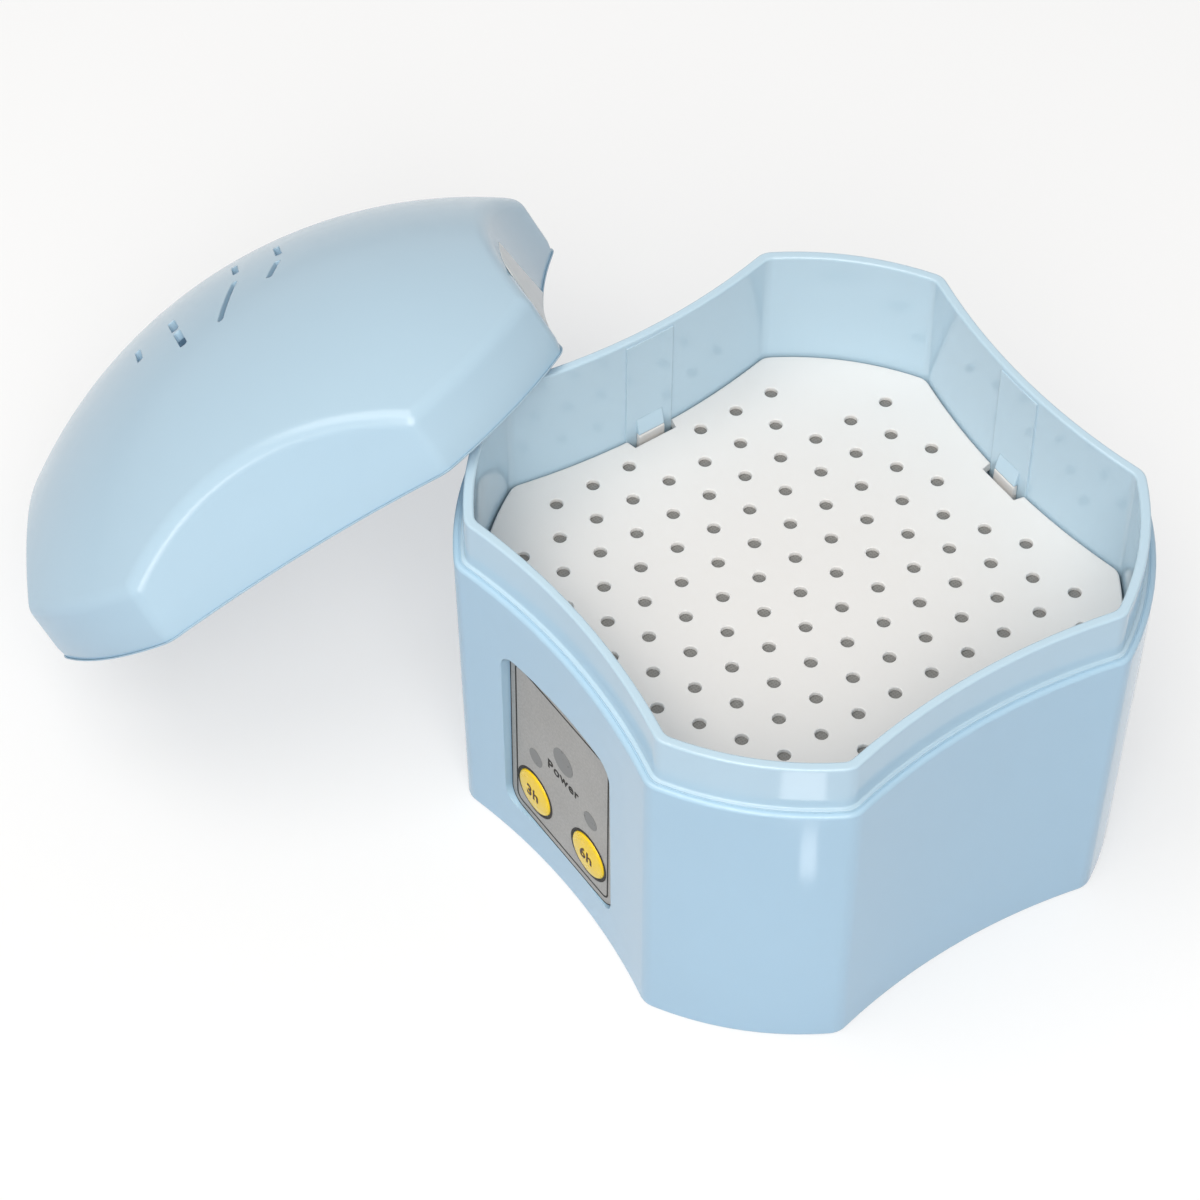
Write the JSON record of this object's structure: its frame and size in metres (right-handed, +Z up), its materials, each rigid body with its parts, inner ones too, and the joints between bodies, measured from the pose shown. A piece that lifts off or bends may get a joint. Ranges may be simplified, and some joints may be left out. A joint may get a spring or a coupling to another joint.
{
  "type": "hearing aid dryer",
  "caption": "Heated drying box for hearing aids with a domed lift-off lid, a perforated tray, a liner, a panel with timer buttons and a low-voltage heater inside.",
  "frame": {"origin": "middle of the flat underside of the bottom cover, on the table under the middle of the case", "axes": "+Z up; -Y is the face with the control panel and +Y the face with the power inlet; the lid leans on the -X side"},
  "size_m": [0.1458, 0.1232, 0.0672],
  "materials": {
    "case_blue": "moulded ABS, fine polish",
    "tray_white": "moulded, satin",
    "cover_blue": "moulded, satin",
    "panel_film": "printed film with a fine silver grain",
    "button_yellow": "moulded, glossy",
    "label_paper": "blank coated label",
    "board_green": "solder-masked glass-fibre board",
    "black_plastic": "moulded, satin",
    "white_nylon": "moulded nylon",
    "led_clear": "clear epoxy",
    "screw_steel": "zinc plated",
    "plate_aluminium": "rolled sheet",
    "clip_steel": "spring steel strip",
    "ceramic_block": "sleeved heating element",
    "capacitor_sleeve": "shrink sleeve",
    "wire_red": "PVC insulation",
    "wire_grey": "silicone insulation",
    "resistor_ceramic": "glazed chip"
  },
  "bodies": {
    "case": {"board_screws": "screw_steel", "bottom_cover": "cover_blue", "capacitor": "capacitor_sleeve", "case_screws": "screw_steel", "case_shell": "case_blue", "chamber_liner": "case_blue", "chip_resistors": "resistor_ceramic", "clip_screws": "screw_steel", "control_board": "board_green", "dc_jack": "black_plastic", "heater_clip": "clip_steel", "heater_connector": "white_nylon", "heater_leads": "wire_grey", "heater_plate": "plate_aluminium", "heater_screws": "screw_steel", "heater_transistor": "black_plastic", "inlet_connector": "white_nylon", "inlet_leads": "wire_red", "jack_nut": "screw_steel", "led_3h": "led_clear", "led_6h": "led_clear", "led_power": "led_clear", "panel_overlay": "panel_film", "perforated_tray": "tray_white", "ptc_heater": "ceramic_block", "side_label": "label_paper", "tact_switch_3h": "black_plastic", "tact_switch_6h": "black_plastic", "thermal_cutoff": "ceramic_block", "timer_chip": "black_plastic"},
    "lid": {"lid_shell": "case_blue"},
    "button_3h": {"button_3h": "button_yellow", "switch_plunger_3h": "black_plastic"},
    "button_6h": {"button_6h": "button_yellow", "switch_plunger_6h": "black_plastic"}
  },
  "joints": [
    {"name": "lid_lift", "type": "slide", "parent": "case", "child": "lid", "axis": [0, 0, 1], "range_m": [0, 0.15]},
    {"name": "button_3h_press", "type": "slide", "parent": "case", "child": "button_3h", "axis": [0, 1, 0], "range_m": [0, 0.0005], "stiffness_N_per_m": 600, "springref_m": -0.0008},
    {"name": "button_6h_press", "type": "slide", "parent": "case", "child": "button_6h", "axis": [0, 1, 0], "range_m": [0, 0.0005], "stiffness_N_per_m": 600, "springref_m": -0.0008}
  ]
}
